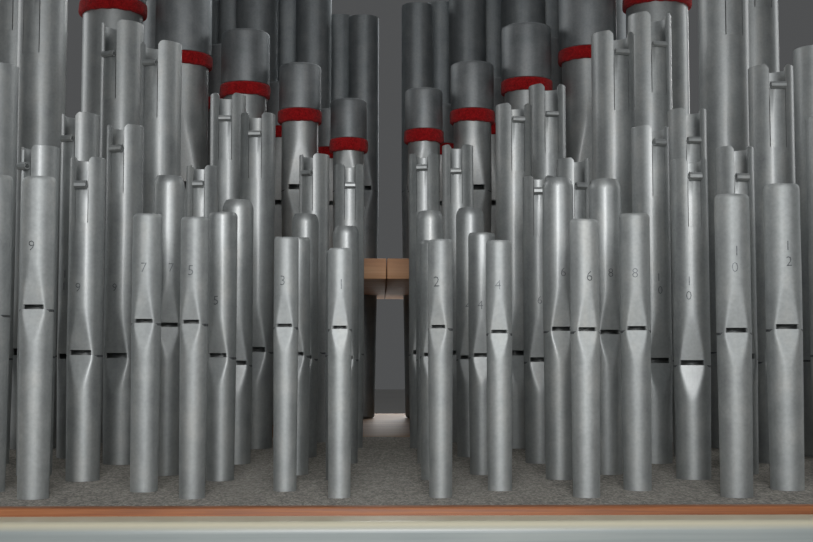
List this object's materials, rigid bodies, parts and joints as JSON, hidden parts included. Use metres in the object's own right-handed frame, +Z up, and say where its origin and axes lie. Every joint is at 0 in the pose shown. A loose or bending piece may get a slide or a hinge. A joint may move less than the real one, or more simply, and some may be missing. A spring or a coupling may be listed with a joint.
{
  "type": "treble end of a pipe organ chest with metal flue pipes",
  "caption": "Stepped organ chest with felted front rack board, painted front rail and rising ranks of metal flue pipes, some slotted, some capped.",
  "frame": {"origin": "middle of the footprint, on the ground", "axes": "+X along the chest to the right seen from the front rail, +Y back from the rail, +Z up"},
  "size_m": [0.4104, 0.564, 0.6268],
  "materials": {
    "pipe_metal": "planed pipe metal of tin and lead, dull silver grey with a soft sheen",
    "languid_metal": "cast pipe metal, duller, with a soldered edge",
    "tongue_metal": "pipe metal rolled with a tuning tool",
    "cap_metal": "drawn pipe metal caps, satin",
    "red_felt": "pressed wool felt, bright red",
    "grey_felt": "pressed wool felt, grey, short nap",
    "rail_paint": "pale grey gloss paint on wood, rounded edges",
    "lipping_wood": "reddish hardwood, oiled",
    "rack_wood": "pale pinkish wood, planed, with a light varnish",
    "post_wood": "turned beech",
    "toe_board_wood": "oak board, planed",
    "chest_wood": "pine, planed and lightly varnished"
  },
  "bodies": {
    "root": {"chest_front": "chest_wood", "chest_rear": "chest_wood", "toe_board_front": "toe_board_wood", "toe_board_rear": "toe_board_wood", "rack_posts_front": "post_wood", "rack_posts_rear": "post_wood", "rack_board_front": "rack_wood", "rack_lipping": "lipping_wood", "rack_felt": "grey_felt", "rack_board_rear_left": "rack_wood", "rack_board_rear_right": "rack_wood", "front_rail": "rail_paint", "twelfth_feet": "pipe_metal", "twelfth_languids": "languid_metal", "twelfth_bodies": "pipe_metal", "octave_feet": "pipe_metal", "octave_languids": "languid_metal", "octave_bodies": "pipe_metal", "octave_tongues": "tongue_metal", "quint_feet": "pipe_metal", "quint_languids": "languid_metal", "quint_bodies": "pipe_metal", "quint_tongues": "tongue_metal", "principal_feet": "pipe_metal", "principal_languids": "languid_metal", "principal_bodies": "pipe_metal", "principal_tongues": "tongue_metal", "stopped_feet": "pipe_metal", "stopped_languids": "languid_metal", "stopped_bodies": "pipe_metal", "stopped_felts": "red_felt", "stopped_caps": "cap_metal", "open_feet": "pipe_metal", "open_languids": "languid_metal", "open_bodies": "pipe_metal"}
  },
  "joints": []
}
